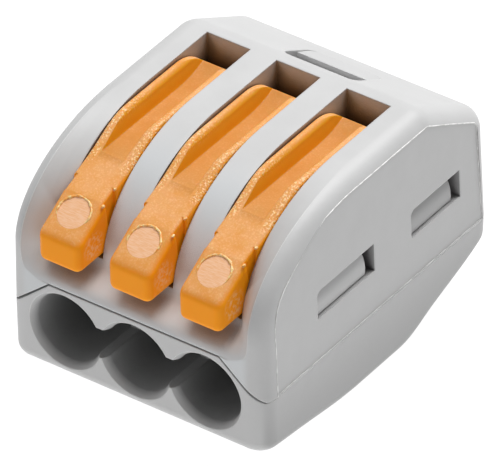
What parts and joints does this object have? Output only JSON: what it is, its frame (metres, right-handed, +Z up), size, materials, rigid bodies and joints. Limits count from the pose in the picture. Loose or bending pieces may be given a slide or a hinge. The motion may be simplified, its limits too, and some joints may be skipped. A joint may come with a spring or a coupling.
{
  "type": "lever wire connector",
  "caption": "Compact lever wire connector: grey housing with flared wire entries and side latch windows, orange levers, spring cage clamps and a copper busbar.",
  "frame": {"origin": "centre of the connector's bounding box, on its lowest plane (the flat of the belly)", "axes": "+X along the row of poles, +Y from the wire entries towards the rear, +Z up, out of the lever side"},
  "size_m": [0.0164, 0.0212, 0.0136],
  "materials": {
    "grey_polyamide": "satin",
    "orange_polyamide": "satin",
    "tinned_copper": "satin",
    "spring_steel": "satin"
  },
  "bodies": {
    "housing": {"upper_housing": "grey_polyamide", "base": "grey_polyamide", "busbar": "tinned_copper"},
    "lever_1_body": {"lever_1": "orange_polyamide"},
    "clamp_1_body": {"cage_clamp_1": "spring_steel"},
    "lever_2_body": {"lever_2": "orange_polyamide"},
    "clamp_2_body": {"cage_clamp_2": "spring_steel"},
    "lever_3_body": {"lever_3": "orange_polyamide"},
    "clamp_3_body": {"cage_clamp_3": "spring_steel"}
  },
  "joints": [
    {"name": "lever_1_hinge", "type": "hinge", "parent": "housing", "child": "lever_1_body", "pos_m": [-0.0045, 0.00237, 0.0115], "axis": [-1, 0, 0], "range_deg": [0, 96]},
    {"name": "clamp_1_flex", "type": "hinge", "parent": "housing", "child": "clamp_1_body", "pos_m": [-0.0045, 0.00617, 0.00843], "axis": [1, 0, 0], "range_deg": [0, 14.4], "deforming": ["cage_clamp_1"]},
    {"name": "lever_2_hinge", "type": "hinge", "parent": "housing", "child": "lever_2_body", "pos_m": [0, 0.00237, 0.0115], "axis": [-1, 0, 0], "range_deg": [0, 96]},
    {"name": "clamp_2_flex", "type": "hinge", "parent": "housing", "child": "clamp_2_body", "pos_m": [0, 0.00617, 0.00843], "axis": [1, 0, 0], "range_deg": [0, 14.4], "deforming": ["cage_clamp_2"]},
    {"name": "lever_3_hinge", "type": "hinge", "parent": "housing", "child": "lever_3_body", "pos_m": [0.0045, 0.00237, 0.0115], "axis": [-1, 0, 0], "range_deg": [0, 96]},
    {"name": "clamp_3_flex", "type": "hinge", "parent": "housing", "child": "clamp_3_body", "pos_m": [0.0045, 0.00617, 0.00843], "axis": [1, 0, 0], "range_deg": [0, 14.4], "deforming": ["cage_clamp_3"]}
  ],
  "couplings": [
    {"joint": "clamp_1_flex", "follows": "lever_1_hinge", "ratio": 0.146},
    {"joint": "clamp_2_flex", "follows": "lever_2_hinge", "ratio": 0.146},
    {"joint": "clamp_3_flex", "follows": "lever_3_hinge", "ratio": 0.146}
  ]
}
